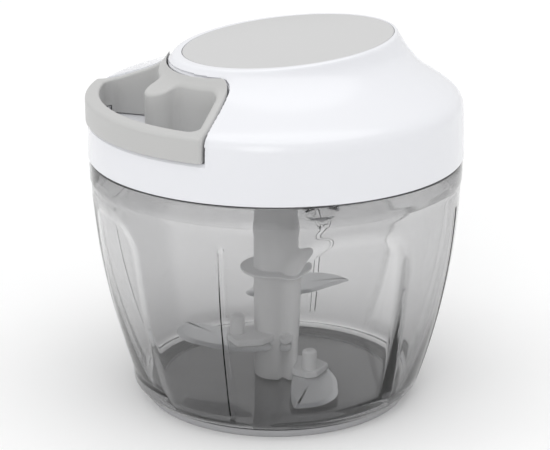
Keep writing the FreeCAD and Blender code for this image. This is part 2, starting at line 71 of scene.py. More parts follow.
def newMaterial(name):
    material = bpy.data.materials.new(name)
    material.use_nodes = True
    material.node_tree.nodes.clear()
    return material, material.node_tree


# Mesh making

def outward(verts, quads, tris):
    # six times the signed volume is the sum of a . (b x c) over the triangles
    # a negative sum means that the surface is inside out
    halves = np.vstack([quads[:, :3], quads[:, [0, 2, 3]], tris])
    a, b, c = (verts[halves[:, k]] for k in range(3))
    if np.einsum("ij,ij->", a, np.cross(b, c)) < 0:
        quads, tris = quads[:, ::-1], tris[:, ::-1]
    return verts, quads, tris


def surface(points, wrapRows=False, capFirst=False, capLast=False):
    # a grid of rows by columns whose rows are closed rings
    # a capped ring is closed by a fan to its own middle
    rows, cols = points.shape[:2]
    index = np.arange(rows * cols).reshape(rows, cols)
    lower = index if wrapRows else index[:-1]
    upper = np.roll(index, -1, 0) if wrapRows else index[1:]
    quads = np.stack([lower, np.roll(lower, -1, 1), np.roll(upper, -1, 1), upper], -1).reshape(-1, 4)
    verts, tris = points.reshape(-1, 3), np.zeros((0, 3), int)
    for wanted, ring in ((capFirst, index[0][::-1]), (capLast, index[-1])):
        if wanted:
            fan = np.stack([ring, np.roll(ring, -1), np.full(cols, len(verts))], -1)
            tris = np.vstack([tris, fan])
            verts = np.vstack([verts, verts[ring].mean(0)])
    return outward(verts, quads, tris)


def meshObject(name, parts, sharpDegrees=32):
    # joins closed surfaces into one mesh object at the origin, smooth but for edges sharper than the angle
    verts = np.vstack([part[0] for part in parts])
    starts = np.cumsum([0] + [len(part[0]) for part in parts])
    faces = []
    for (_, quads, tris), start in zip(parts, starts):
        faces += (quads + start).tolist() + (tris + start).tolist()
    mesh = bpy.data.meshes.new(name)
    mesh.from_pydata((verts * mm).tolist(), [], faces)
    mesh.shade_smooth()
    mesh.set_sharp_from_angle(angle=math.radians(sharpDegrees))
    made = bpy.data.objects.new(name, mesh)
    bpy.context.scene.collection.objects.link(made)
    return made


def seat(made, body, slot, material, *nodes):
    # puts a finished piece on its body with its finish, in place of the CAD nodes it stands for
    made.data.materials.clear()
    made.data.materials.append(material)
    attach(made, body)
    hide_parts(*nodes)
    print("piece", made.name, "faces", len(made.data.polygons))
    return made


def carve(made, cutter, sharpDegrees=32):
    # takes the cutter's volume out of the piece for good
    modifier = made.modifiers.new("carve", "BOOLEAN")
    modifier.operation, modifier.solver, modifier.object = "DIFFERENCE", "MANIFOLD", cutter
    result = bpy.data.meshes.new_from_object(made.evaluated_get(bpy.context.evaluated_depsgraph_get()))
    made.modifiers.clear()
    made.data = result
    result.shade_smooth()
    result.set_sharp_from_angle(angle=math.radians(sharpDegrees))
    bpy.data.objects.remove(cutter)


def ringAt(angle):
    # unit directions in plan, angle 0 towards the handle
    return np.stack([np.sin(angle), -np.cos(angle)], -1)


def lathe(profile, cols=128, **caps):
    # (radius, z) carried round the axis: x = radius sin a, y = -radius cos a
    ring = ringAt(np.linspace(0, 2 * np.pi, cols, endpoint=False))
    flat = profile[:, None, :1] * ring[None]
    height = np.repeat(profile[:, None, 1:], cols, 1)
    return surface(np.concatenate([flat, height], -1), **caps)


def rounded(corners, steps=5, closed=True):
    # a polyline of (a, b, radius) with each corner swept by an arc of its radius between its tangent points
    found, count = [], len(corners)
    for i, (a, b, radius) in enumerate(corners):
        here = np.array([a, b], float)
        if radius == 0 or (not closed and i in (0, count - 1)):
            found.append(here[None])
            continue
        before = np.array(corners[i - 1][:2]) - here
        after = np.array(corners[(i + 1) % count][:2]) - here
        before, after = before / np.linalg.norm(before), after / np.linalg.norm(after)
        half = math.acos(np.clip(before @ after, -1, 1)) / 2
        centre = here + (before + after) / np.linalg.norm(before + after) * radius / math.sin(half)
        first, last = here + before * radius / math.tan(half), here + after * radius / math.tan(half)
        turn, t = math.pi - 2 * half, np.linspace(0, 1, steps + 1)[:, None]
        sweep = (first - centre) * np.sin((1 - t) * turn) + (last - centre) * np.sin(t * turn)
        found.append(centre + sweep / math.sin(turn))
    return np.vstack(found)


def spline(knots, values, at, startSlope=None):
    # cubic pieces with matched slope and curvature at the knots, straight at the ends unless a slope is given
    knots, values, at = (np.asarray(q, float) for q in (knots, values, at))
    count, step = len(knots), np.diff(knots)
    rise = np.diff(values) / step
    matrix, right, k = np.eye(count), np.zeros(count), np.arange(1, count - 1)
    matrix[k, k - 1], matrix[k, k], matrix[k, k + 1] = step[:-1], 2 * (step[:-1] + step[1:]), step[1:]
    right[1:-1] = 6 * np.diff(rise)
    if startSlope is not None:
        matrix[0, 0], matrix[0, 1], right[0] = 2 * step[0], step[0], 6 * (rise[0] - startSlope)
    bend = np.linalg.solve(matrix, right)
    i = np.clip(np.searchsorted(knots, at) - 1, 0, count - 2)
    t = at - knots[i]
    slope = rise[i] - step[i] * (2 * bend[i] + bend[i + 1]) / 6
    return values[i] + t * slope + t ** 2 * bend[i] / 2 + t ** 3 * (bend[i + 1] - bend[i]) / (6 * step[i])


def arc(first, via, last, count):
    # points on the circle through three points, from the first up to but not including the last
    (ax, ay), (bx, by), (cx, cy) = first, via, last
    d = 2 * (ax * (by - cy) + bx * (cy - ay) + cx * (ay - by))
    sa, sb, sc = ax * ax + ay * ay, bx * bx + by * by, cx * cx + cy * cy
    ox = (sa * (by - cy) + sb * (cy - ay) + sc * (ay - by)) / d
    oy = (sa * (cx - bx) + sb * (ax - cx) + sc * (bx - ax)) / d
    start = math.atan2(ay - oy, ax - ox)
    wrap = 2 * math.pi
    toVia = (math.atan2(by - oy, bx - ox) - start) % wrap
    toLast = (math.atan2(cy - oy, cx - ox) - start) % wrap
    sweep = toLast if toVia < toLast else toLast - wrap
    angle = start + sweep * np.linspace(0, 1, count, endpoint=False)
    radius = math.hypot(ax - ox, ay - oy)
    return np.stack([ox + radius * np.cos(angle), oy + radius * np.sin(angle)], -1)


def line(first, last, count):
    t = np.linspace(0, 1, count, endpoint=False)[:, None]
    return np.array(first) * (1 - t) + np.array(last) * t


def normalsOf(path, closed=True):
    # unit normals in plan, to the right of the way that the path runs
    if closed:
        along = np.roll(path, -1, 0) - np.roll(path, 1, 0)
    else:
        along = np.gradient(path, axis=0)
    along = along / np.linalg.norm(along, axis=1, keepdims=True)
    return np.stack([along[:, 1], -along[:, 0]], -1)


def bothSides(half):
    # a right half, from the middle of the back to the middle of the front, and its mirror image
    return np.vstack([half, (half * [-1, 1])[:0:-1]])


def slab(outline, lowZ, highZ, edge=0.3, steps=4, inward=1.0):
    # a flat plate: its outline is carried up, and drawn in along a quarter circle at both faces
    normal = normalsOf(outline) * inward
    angle = np.linspace(0, np.pi / 2, steps + 1)
    inset = np.concatenate([edge * (1 - np.sin(angle)), edge * (1 - np.cos(angle))])
    level = np.concatenate([lowZ + edge * (1 - np.cos(angle)), highZ - edge * (1 - np.sin(angle))])
    flat = outline[None] + normal[None] * inset[:, None, None]
    height = np.broadcast_to(level[:, None, None], (len(level), len(outline), 1))
    return surface(np.concatenate([flat, height], -1), capFirst=True, capLast=True)


def turned(part, degrees):
    turn = math.radians(degrees)
    matrix = np.array([[math.cos(turn), -math.sin(turn), 0], [math.sin(turn), math.cos(turn), 0], [0, 0, 1]])
    return part[0] @ matrix.T, part[1], part[2]


def moved(part, x=0.0, y=0.0, z=0.0):
    return part[0] + [x, y, z], part[1], part[2]


# Camera, floor and light

camera = {"facing": 63.0, "away": 659.8, "height": 284.2, "pitchDown": 18.63, "lens": 126.46,
          "sensor": 36.0, "shiftX": -0.002}


def makeCamera():
    turn = math.radians(camera["facing"])
    data = bpy.data.cameras.new("camera")
    data.sensor_width, data.lens, data.shift_x = camera["sensor"], camera["lens"], camera["shiftX"]
    data.clip_start, data.clip_end = 0.05, 50.0
    made = bpy.data.objects.new("camera", data)
    made.location = [camera["away"] * math.sin(turn) * mm, -camera["away"] * math.cos(turn) * mm,
                     camera["height"] * mm]
    made.rotation_euler = [math.radians(90 - camera["pitchDown"]), 0, turn]
    bpy.context.scene.collection.objects.link(made)
    bpy.context.scene.camera = made


studio = {"floorHalf": 6.0, "floorColour": "#FAFAFA", "worldColour": "#FFFFFF", "worldStrength": 0.8,
          "lamps": [("topSoftbox", (0.0, 0.1, 1.9), (0, 0, 0.0), 2.2, 12.0),
                    ("keySoftbox", (1.5, -1.1, 1.0), (0, 0, 0.07), 0.9, 4.0),
                    ("leftSoftbox", (-0.6, -1.6, 0.9), (0, 0, 0.08), 0.8, 2.0)]}


def makeStudio():
    half = studio["floorHalf"]
    mesh = bpy.data.meshes.new("floor")
    corners = [(-half, -half, 0), (half, -half, 0), (half, half, 0), (-half, half, 0)]
    mesh.from_pydata(corners, [], [(0, 1, 2, 3)])
    floor = bpy.data.objects.new("floor", mesh)
    bpy.context.scene.collection.objects.link(floor)
    paper, tree = newMaterial("seamlessPaper")
    speck = addNode(tree, "ShaderNodeTexNoise", {"Scale": 400.0, "Detail": 3.0})
    tint = addNode(tree, "ShaderNodeMapRange", {"To Min": 0.985, "To Max": 1.0},
                   {"Value": speck.outputs["Fac"]})
    shade = addNode(tree, "ShaderNodeMix", {"data_type": "RGBA", "blend_type": "MULTIPLY", 0: 1.0,
                                            6: linear(studio["floorColour"])}, {7: tint.outputs["Result"]})
    body = addNode(tree, "ShaderNodeBsdfDiffuse", {"Roughness": 0.6}, {"Color": shade.outputs[2]})
    addNode(tree, "ShaderNodeOutputMaterial", None, {"Surface": body.outputs[0]})
    mesh.materials.append(paper)
    world = bpy.data.worlds.new("studio")
    world.use_nodes = True
    back = world.node_tree.nodes["Background"]
    back.inputs["Color"].default_value = linear(studio["worldColour"])
    back.inputs["Strength"].default_value = studio["worldStrength"]
    bpy.context.scene.world = world
    for name, place, aim, size, power in studio["lamps"]:
        data = bpy.data.lights.new(name, "AREA")
        data.shape, data.size, data.energy = "DISK", size, power
        lamp = bpy.data.objects.new(name, data)
        lamp.location = place
        back = np.array(place) - np.array(aim)
        level = math.hypot(back[0], back[1])
        lamp.rotation_euler = [math.atan2(level, back[2]), 0, math.atan2(back[0], -back[1])]
        bpy.context.scene.collection.objects.link(lamp)
    bpy.context.scene.view_settings.view_transform = "Standard"


makeCamera()
makeStudio()
print("camera, floor and lights in place")


# Materials

def moulded(name, hexColour, roughness, grain, depth, ior=1.5, mottle=0.02):
    # a moulded plastic: even colour with a faint mottle, and a fine bump of the mould's grain in millimetres
    material, tree = newMaterial(name)
    where = addNode(tree, "ShaderNodeTexCoord").outputs["Object"]
    fine = addNode(tree, "ShaderNodeTexNoise", {"Scale": 1000 / grain, "Detail": 2.0}, {"Vector": where})
    broad = addNode(tree, "ShaderNodeTexNoise", {"Scale": 28.0, "Detail": 3.0}, {"Vector": where})
    tint = addNode(tree, "ShaderNodeMapRange", {"To Min": 1 - mottle, "To Max": 1 + mottle},
                   {"Value": broad.outputs["Fac"]})
    colour = addNode(tree, "ShaderNodeMix", {"data_type": "RGBA", "blend_type": "MULTIPLY", 0: 1.0,
                                             6: linear(hexColour)}, {7: tint.outputs["Result"]})
    gloss = addNode(tree, "ShaderNodeMapRange", {"To Min": roughness * 0.93, "To Max": roughness * 1.07},
                    {"Value": broad.outputs["Fac"]})
    bump = addNode(tree, "ShaderNodeBump", {"Strength": 0.5, "Distance": depth * mm},
                   {"Height": fine.outputs["Fac"]})
    shader = addNode(tree, "ShaderNodeBsdfPrincipled", {"IOR": ior},
                     {"Base Color": colour.outputs[2], "Roughness": gloss.outputs["Result"],
                      "Normal": bump.outputs["Normal"]})
    addNode(tree, "ShaderNodeOutputMaterial", None, {"Surface": shader.outputs[0]})
    return material


def metal(name, hexColour, roughness, scratch, stretch):
    # a metal whose grinding lines are noise drawn out along one way; scratch is their spacing in millimetres
    material, tree = newMaterial(name)
    where = addNode(tree, "ShaderNodeTexCoord").outputs["Object"]
    drawn = addNode(tree, "ShaderNodeMapping", {"Scale": stretch}, {"Vector": where})
    lines = addNode(tree, "ShaderNodeTexNoise", {"Scale": 1000 / scratch, "Detail": 4.0},
                    {"Vector": drawn.outputs[0]})
    gloss = addNode(tree, "ShaderNodeMapRange", {"To Min": roughness * 0.75, "To Max": roughness * 1.3},
                    {"Value": lines.outputs["Fac"]})
    bump = addNode(tree, "ShaderNodeBump", {"Strength": 0.25, "Distance": 0.02 * mm},
                   {"Height": lines.outputs["Fac"]})
    shader = addNode(tree, "ShaderNodeBsdfPrincipled", {"Base Color": linear(hexColour), "Metallic": 1.0},
                     {"Roughness": gloss.outputs["Result"], "Normal": bump.outputs["Normal"]})
    addNode(tree, "ShaderNodeOutputMaterial", None, {"Surface": shader.outputs[0]})
    return material


def smokedClear(name, hexColour, shadowColour, density, ior):
    # clear plastic with a smoke tint that deepens with the way through it, for lamps as for the eye
    material, tree = newMaterial(name)
    where = addNode(tree, "ShaderNodeTexCoord").outputs["Object"]
    ripple = addNode(tree, "ShaderNodeTexNoise", {"Scale": 45.0, "Detail": 1.0}, {"Vector": where})
    bump = addNode(tree, "ShaderNodeBump", {"Strength": 0.12, "Distance": 0.12 * mm},
                   {"Height": ripple.outputs["Fac"]})
    clear = addNode(tree, "ShaderNodeBsdfPrincipled", {"Base Color": linear("#FFFFFF"), "Roughness": 0.02,
                                                       "IOR": ior, "Transmission Weight": 1.0},
                    {"Normal": bump.outputs["Normal"]})
    through = addNode(tree, "ShaderNodeBsdfTransparent", {"Color": linear(shadowColour)})
    rays = addNode(tree, "ShaderNodeLightPath")
    mixed = addNode(tree, "ShaderNodeMixShader", None, {0: rays.outputs["Is Shadow Ray"], 1: clear.outputs[0],
                                                        2: through.outputs[0]})
    inside = addNode(tree, "ShaderNodeVolumeAbsorption", {"Color": linear(hexColour), "Density": density})
    addNode(tree, "ShaderNodeOutputMaterial", None,
            {"Surface": mixed.outputs[0], "Volume": inside.outputs[0]})
    return material


def braided(name, hexColour, pitch):
    # nylon braid: crossing waves along and round the cord, pitch millimetres apart
    material, tree = newMaterial(name)
    where = addNode(tree, "ShaderNodeTexCoord").outputs["Object"]
    waves = [addNode(tree, "ShaderNodeTexWave",
                     {"Scale": 160 / pitch, "Distortion": 1.5, "bands_direction": way},
                     {"Vector": where}) for way in ("Y", "Z")]
    weave = addNode(tree, "ShaderNodeMath", {"operation": "MULTIPLY"},
                    {0: waves[0].outputs["Fac"], 1: waves[1].outputs["Fac"]})
    tint = addNode(tree, "ShaderNodeMapRange", {"To Min": 0.82, "To Max": 1.0}, {"Value": weave.outputs[0]})
    colour = addNode(tree, "ShaderNodeMix", {"data_type": "RGBA", "blend_type": "MULTIPLY", 0: 1.0,
                                             6: linear(hexColour)}, {7: tint.outputs["Result"]})
    bump = addNode(tree, "ShaderNodeBump", {"Strength": 0.6, "Distance": 0.15 * mm},
                   {"Height": weave.outputs[0]})
    shader = addNode(tree, "ShaderNodeBsdfPrincipled", {"Roughness": 0.75, "Sheen Weight": 0.3},
                     {"Base Color": colour.outputs[2], "Normal": bump.outputs["Normal"]})
    addNode(tree, "ShaderNodeOutputMaterial", None, {"Surface": shader.outputs[0]})
    return material


# Gloss ABS from a polished mould: clean soft reflections, the grain too faint to see but for a slight ripple.
whiteAbs = moulded("glossWhiteAbs", "#E6E7EB", 0.2, 0.9, 0.004, ior=1.54, mottle=0.004)
# Satin ABS from a fine spark-eroded mould: wide soft highlights.
# Its grain is drawn at 0.35 mm so that it just shows.
greyAbs = moulded("satinGreyAbs", "#BDBDBC", 0.42, 0.35, 0.02, ior=1.52, mottle=0.012)
# ABS inset plate from a finer satin mould: even, and a little brighter than the handle.
plateAbs = moulded("satinPlateAbs", "#C6C6C6", 0.36, 0.3, 0.012, ior=1.5, mottle=0.012)
# Polypropylene, slightly waxy: broad dull shine.
stemPoly = moulded("waxyPolypropylene", "#F0F0F0", 0.38, 0.6, 0.02, ior=1.49, mottle=0.015)
# Acetal: dense, off-white, slippery bearing plastic with a low sheen.
acetal = moulded("machinedAcetal", "#E9E7DC", 0.35, 0.5, 0.015, ior=1.48)
# Nylon of the reel and hub: milky and a little rougher than acetal.
nylon = moulded("mouldedNylon", "#DCDBD4", 0.45, 0.6, 0.02, ior=1.53)
# Silicone and soft TPE rubbers: matt, with a powdery mould grain.
silicone = moulded("mattSilicone", "#C8C8C8", 0.62, 0.4, 0.03, ior=1.41)
footTpe = moulded("softFootTpe", "#B9B9BB", 0.5, 0.4, 0.03, ior=1.45)
# Fine ground stainless blade stock: grinding lines 0.25 mm apart, drawn coarser than the real 0.05 mm.
bladeSteel = metal("groundStainlessSteel", "#E2E3E4", 0.36, 0.25, (1.0, 0.12, 1.0))
# Polished stainless pin and axle.
pinSteel = metal("polishedStainlessSteel", "#CFD0D1", 0.12, 0.4, (1.0, 1.0, 0.1))
# Zinc-plated screws: cool and slightly cloudy.
zinc = metal("zincPlatedSteel", "#C4C6C8", 0.3, 0.5, (1.0, 1.0, 1.0))
# Blued spring strip, rolled along its length.
springSteel = metal("bluedSpringSteel", "#7D828E", 0.3, 0.2, (1.0, 1.0, 0.2))
# Braided nylon cord, strands 0.6 mm apart.
cordNylon = braided("braidedNylon", "#EDEDE8", 0.6)
# Smoke-tinted SAN: clear and hard, darker where the eye looks along the wall.
smokeSan = smokedClear("smokeTintedSan", "#808083", "#FFFFFF", 175.0, 1.56)
print("materials ready")


# Lid cover

lid = {"lowZ": 90.0, "lowR": 66.7, "wall": 2.2, "bandZ": 107.0, "roofDrop": 4.2,
       "height": (107.0, 110.0, 112.3, 114.6, 117.0, 120.0, 123.5, 126.1, 129.0, 131.5, 136.0),
       "rear": (66.0, 65.3, 63.6, 60.6, 57.0, 53.1, 50.2, 48.2, 46.3, 44.8, 43.0),
       "side": (66.0, 65.2, 63.0, 57.5, 50.6, 43.8, 38.2, 35.8, 34.6, 34.0, 33.4),
       "front": (66.0, 65.2, 62.8, 56.5, 49.6, 42.8, 39.0, 36.8, 35.4, 34.8, 34.2),
       "rimEdge": 1.0, "lipEdge": 0.5, "pocketEdge": 0.8}
plate = {"z": 129.5, "back": 4.9, "tilt": math.radians(4.4), "halfLong": 38.4, "halfWide": 32.4, "thick": 1.6,
         "gap": 0.15, "edge": 0.35}
pocket = {"floorZ": 103.0, "wellZ": 100.4, "sillR": 60.6, "back": 38.2, "edge": (20.5, -31.1),
          "corner": (23.65, -29.95), "side": (26.6, -31.3), "out": (80.0, -83.7), "frontY": -110.0,
          "cutTopZ": 150, "wellTopZ": 110}
cord = {"radius": 1.1, "z": 109.8, "eyeY": -38.2, "eyeHoleR": 3.0, "knotY": -43.8, "knotRoom": 3.0,
        "braid": 0.07}


def lidOutline(z, angle, inset=0.0):
    # an ellipse at each height: x = side sin a, y = shift - length cos a
    slope = (lid["side"][0] - lid["lowR"]) / (lid["bandZ"] - lid["lowZ"])
    reach = []
    for key in ("rear", "side", "front"):
        above = spline(lid["height"], lid[key], np.maximum(z, lid["bandZ"]), slope)
        reach.append(np.where(z < lid["bandZ"], lid["lowR"] + slope * (z - lid["lowZ"]), above) - inset)
    rear, side, front = reach
    return side * np.sin(angle), (rear - front) / 2 - (rear + front) / 2 * np.cos(angle)


def plateHeight(y, drop=0.0):
    return plate["z"] - drop + (y - plate["back"]) * math.tan(plate["tilt"])


def lidTop(angle, inset=0.0, drop=0.0):
    # height where the flank meets the sloping top, by stepping towards it
    z = np.full_like(angle, plate["z"] - drop)
    for _ in range(12):
        z = plateHeight(lidOutline(z, angle, inset)[1], drop)
    return z


def flank(angle, inset, share, topZ):
    z = lid["bandZ"] + (topZ - lid["bandZ"])[None] * share[:, None]
    x, y = lidOutline(z, np.broadcast_to(angle, z.shape), inset)
    return np.stack([x, y, z], -1)


def bend(first, via, last, count):
    # a quadratic curve: (1-t)^2 first + 2t(1-t) via + t^2 last, without its first point
    t = np.linspace(0, 1, count + 1)[1:, None, None]
    return (1 - t) ** 2 * first + 2 * t * (1 - t) * via + t ** 2 * last


def lidAngles():
    # columns are closer together round the handle's pocket
    span, near, far = math.radians(47), 260, 330
    tight = np.linspace(-span, span, near, endpoint=False)
    return np.concatenate([tight, np.linspace(span, 2 * np.pi - span, far, endpoint=False)])


def ovalRing(angle, grow, drop):
    y = plate["back"] - (plate["halfLong"] + grow) * math.cos(plate["tilt"]) * np.cos(angle)
    x = (plate["halfWide"] + grow) * np.sin(angle)
    return np.stack([x, y, plateHeight(y, drop)], -1)[None]


def lidOuter():
    # bottom rim, upright band, flank, rounded rim, recess for the plate, closed at the recess's middle
    angle = lidAngles()
    ring = ringAt(angle)
    topZ = lidTop(angle)
    lip = rounded([(lid["lowR"] - lid["wall"], lid["lowZ"], 0), (lid["lowR"], lid["lowZ"], lid["lipEdge"]),
                   (lid["lowR"] - 0.4, lid["lowZ"] + 8, 0)], closed=False)
    band = np.concatenate([lip[:, None, :1] * ring, np.repeat(lip[:, None, 1:], len(angle), 1)], -1)
    upright = np.linspace(lid["lowZ"] + 10, lid["bandZ"], 8)[:-1]
    x, y = lidOutline(np.repeat(upright[:, None], len(angle), 1), np.broadcast_to(angle, (7, len(angle))))
    wall = np.stack([x, y, np.repeat(upright[:, None], len(angle), 1)], -1)
    side = flank(angle, 0, np.linspace(0, 1, 84), topZ - lid["rimEdge"])
    corner = np.stack([*lidOutline(topZ, angle), topZ], -1)[None]
    recess = ovalRing(angle, plate["gap"], 0)
    towards = recess - corner
    reach = np.linalg.norm(towards, axis=-1, keepdims=True)
    onTop = corner + towards / reach * np.minimum(lid["rimEdge"], 0.6 * reach)
    rim = bend(side[-1:], corner, onTop, 7)
    edge = ovalRing(angle, plate["gap"] + 0.25, 0)
    drop = bend(edge, recess, ovalRing(angle, plate["gap"], 0.25), 3)
    low = ovalRing(angle, plate["gap"], plate["thick"])
    return np.vstack([band, wall, side, rim, edge, drop, low, ovalRing(angle, -12, plate["thick"])])


def pocketPath(counts=(40, 16, 60)):
    # right half of the pocket's plan from the middle of its back: an arc, a small corner arc, a straight side
    back = (0.0, -pocket["back"])
    mirroredEdge = (-pocket["edge"][0], pocket["edge"][1])
    whole = arc(mirroredEdge, back, pocket["edge"], 2 * counts[0])
    return np.vstack([whole[counts[0]:], arc(pocket["edge"], pocket["corner"], pocket["side"], counts[1]),
                      line(pocket["side"], pocket["out"], counts[2])])


def pocketOutline(grow=0.0):
    half = pocketPath()
    half = half - normalsOf(half, closed=False) * grow
    half[0, 0] = 0
    outX = pocket["out"][0] + 5
    ends = [[outX, half[-1, 1]], [outX, pocket["frontY"]], [0, pocket["frontY"]]]
    return bothSides(np.vstack([half, ends]))


def wellOutline(grow=0.0):
    # the part of the pocket's plan inside the sill, closed by the sill's arc
    half = pocketPath((40, 16, 600))
    half = half - normalsOf(half, closed=False) * grow
    half[0, 0] = 0
    half = half[np.linalg.norm(half, axis=1) < pocket["sillR"] + grow - 0.05]
    end = math.atan2(half[-1, 0], -half[-1, 1])
    return bothSides(np.vstack([half, (pocket["sillR"] + grow) * ringAt(np.linspace(end, 0, 40))]))


def prismObject(outline, lowZ, highZ):
    # an upright cutter with one face at each end
    count = len(outline)
    verts = np.vstack([np.column_stack([outline, np.full(count, z)]) for z in (lowZ, highZ)])
    k = np.arange(count)
    sides = np.stack([k, (k + 1) % count, (k + 1) % count + count, k + count], -1)
    area = np.sum(outline[:, 0] * np.roll(outline[:, 1], -1) - np.roll(outline[:, 0], -1) * outline[:, 1])
    faces = sides.tolist() + [k[::-1].tolist(), (k + count).tolist()]
    if area < 0:
        faces = [face[::-1] for face in faces]
    mesh = bpy.data.meshes.new("cutter")
    mesh.from_pydata((verts * mm).tolist(), [], faces)
    made = bpy.data.objects.new("cutter", mesh)
    bpy.context.scene.collection.objects.link(made)
    return made


def inside(points, outline):
    # even-odd rule: a point is inside when a level line from it crosses the outline an odd number of times
    x, y = points[:, :1], points[:, 1:]
    ax, ay = outline[:, 0], outline[:, 1]
    bx, by = np.roll(ax, -1), np.roll(ay, -1)
    across = (ay > y) != (by > y)
    rise = np.where(by == ay, 1.0, by - ay)
    return (across & (x < (bx - ax) * (y - ay) / rise + ax)).sum(1) % 2 == 1


def distance(points, outline):
    # to the nearest point of each straight piece of the outline
    a, b = outline, np.roll(outline, -1, 0)
    along = b - a
    length = (along ** 2).sum(1)
    share = ((points[:, None] - a) * along).sum(-1) / length
    nearest = a + np.clip(share, 0, 1)[..., None] * along
    return np.sqrt(((points[:, None] - nearest) ** 2).sum(-1)).min(1)


def easeEdge(points, outline, radius, lowZ):
    # sinks the surface along its normal by r - sqrt(r^2 - (r - d)^2), d being the way to the pocket's edge
    across, up = np.roll(points, -1, 1) - np.roll(points, 1, 1), np.gradient(points, axis=0)
    normal = np.cross(across, up)
    normal /= np.maximum(np.linalg.norm(normal, axis=-1, keepdims=True), 1e-9)
    flat, way = points.reshape(-1, 3), normal.reshape(-1, 3)
    near = np.flatnonzero((flat[:, 1] < -24) & (flat[:, 2] > lowZ))
    gap = distance(flat[near, :2], outline)
    gap[inside(flat[near, :2], outline)] = 0
    near, gap = near[gap < radius], gap[gap < radius]
    sink = radius - np.sqrt(radius ** 2 - (radius - gap) ** 2)
    eased = flat.copy()
    eased[near] -= way[near] * sink[:, None]
    return eased.reshape(points.shape)


def makeLid():
    shape = easeEdge(lidOuter(), pocketOutline(), lid["pocketEdge"], pocket["floorZ"] - 0.5)
    cover = meshObject("lidShell", [surface(shape, capFirst=True, capLast=True)])
    angle = np.linspace(0, 2 * np.pi, 180, endpoint=False)
    topZ = lidTop(angle, lid["wall"], lid["roofDrop"])
    ring = ringAt(angle) * (lid["lowR"] - lid["wall"])
    low = np.column_stack([ring, np.full(len(angle), lid["lowZ"] - 5)])[None]
    hollow = np.vstack([low, flank(angle, lid["wall"], np.linspace(0, 1, 24), topZ)])
    room = meshObject("room", [surface(hollow, capFirst=True, capLast=True)])
    carve(room, prismObject(pocketOutline(lid["wall"]), pocket["floorZ"] - lid["wall"], pocket["cutTopZ"]))
    carve(room, prismObject(wellOutline(lid["wall"]), pocket["wellZ"] - lid["wall"], pocket["wellTopZ"]))
    carve(cover, prismObject(pocketOutline(), pocket["floorZ"], pocket["cutTopZ"]))
    carve(cover, prismObject(wellOutline(), pocket["wellZ"], pocket["wellTopZ"]))
    carve(cover, room)
    bore = np.array([[cord["eyeHoleR"], 30.0], [cord["eyeHoleR"], 42.0]])
    hole = lathe(bore, 48, capFirst=True, capLast=True)
    carve(cover, meshObject("eyeHole", [alongCord(hole)]))
    return seat(cover, "lid", "white_abs", whiteAbs, "lid_cover")


def alongCord(part):
    # lays a piece turned about Z along the cord's line: its height becomes the way towards the handle
    verts = part[0][:, [0, 2, 1]] * [1, -1, 1] + [0, 0, cord["z"]]
    return outward(verts, part[1], part[2])


makeLid()


# Top plate

def makePlate():
    angle = np.linspace(0, 2 * np.pi, 240, endpoint=False)
    outline = np.stack([plate["halfWide"] * np.sin(angle), -plate["halfLong"] * np.cos(angle)], -1)
    verts, quads, tris = slab(outline, -plate["thick"], 0.0, plate["edge"], inward=-1.0)
    c, s = math.cos(plate["tilt"]), math.sin(plate["tilt"])
    verts = verts @ np.array([[1, 0, 0], [0, c, -s], [0, s, c]]).T + [0, plate["back"], plate["z"]]
    made = meshObject("topInset", [(verts, quads, tris)])
    return seat(made, "lid", "plate_grey", plateAbs, "top_plate")


makePlate()
print("lid done")


# Pull handle

grip = {"gap": 0.7, "lowZ": 100.8, "skirtZ": 103.4, "skirtR": 60.0, "cutR": 75.0, "cutLowZ": 95.0,
        "outR": 67.1, "outEdge": 1.3,
        "rearEdge": 0.45, "inEdge": 1.0, "cornerReach": 1.8,
        "topR": (34.0, 38.0, 40.0, 42.5, 46.0, 51.0, 56.5, 62.0, 67.1),
        "topZ": (129.5, 124.8, 122.0, 119.8, 118.0, 116.1, 114.0, 112.6, 111.9),
        "wellR": 62.0, "backR": 36.6, "backY": -5.1, "noseR": 6.4, "noseY": -43.4, "flare": 3.0,
        "wellCorner": ((20.5, -35.42), (23.7, -34.7), (26.2, -36.4)),
        "wellFront": ((35.4, -45.5), (36.9, -48.2), (35.4, -50.9)),
        "counts": (12, 10, 18, 14, 34, 10, 64)}


def gripOuter():
    # the pocket's plan less the gap, turned at a small corner into the round front
    n = grip["counts"]
    back, edge = pocket["back"], pocket["edge"]
    whole = arc((-edge[0], edge[1]), (0.0, -back), edge, 2000)[1000:]
    stops = (0, 4.9, 9.6, edge[0])
    marks = np.concatenate([np.linspace(stops[k], stops[k + 1], n[k], endpoint=False) for k in range(3)])
    rear = np.stack([marks, np.interp(marks, whole[:, 0], whole[:, 1])], -1)
    side = line(pocket["side"], pocket["out"], 400)
    path = np.vstack([rear, arc(edge, pocket["corner"], pocket["side"], n[3]), side])
    path = path + normalsOf(path, closed=False) * grip["gap"]
    start = len(rear) + n[3]
    side = path[start:]
    side = side[np.linalg.norm(side, axis=1) < grip["outR"] - grip["cornerReach"]]
    cut = np.linalg.norm(path[start:], axis=1)
    tip = np.array([np.interp(grip["outR"], cut, path[start:, k]) for k in range(2)])
    end = side[-1]
    share = np.linspace(0, 1, n[4], endpoint=False)[:, None]
    straight = side[0] * (1 - share) + end * share
    turn = math.atan2(tip[0], -tip[1]) - grip["cornerReach"] / grip["outR"]
    onFront = grip["outR"] * np.array([math.sin(turn), -math.cos(turn)])
    t = np.linspace(0, 1, n[5], endpoint=False)[:, None]
    corner = (1 - t) ** 2 * end + 2 * t * (1 - t) * tip + t ** 2 * onFront
    front = grip["outR"] * ringAt(np.linspace(turn, 0, n[6]))
    return bothSides(np.vstack([path[:start], straight, corner, front]))


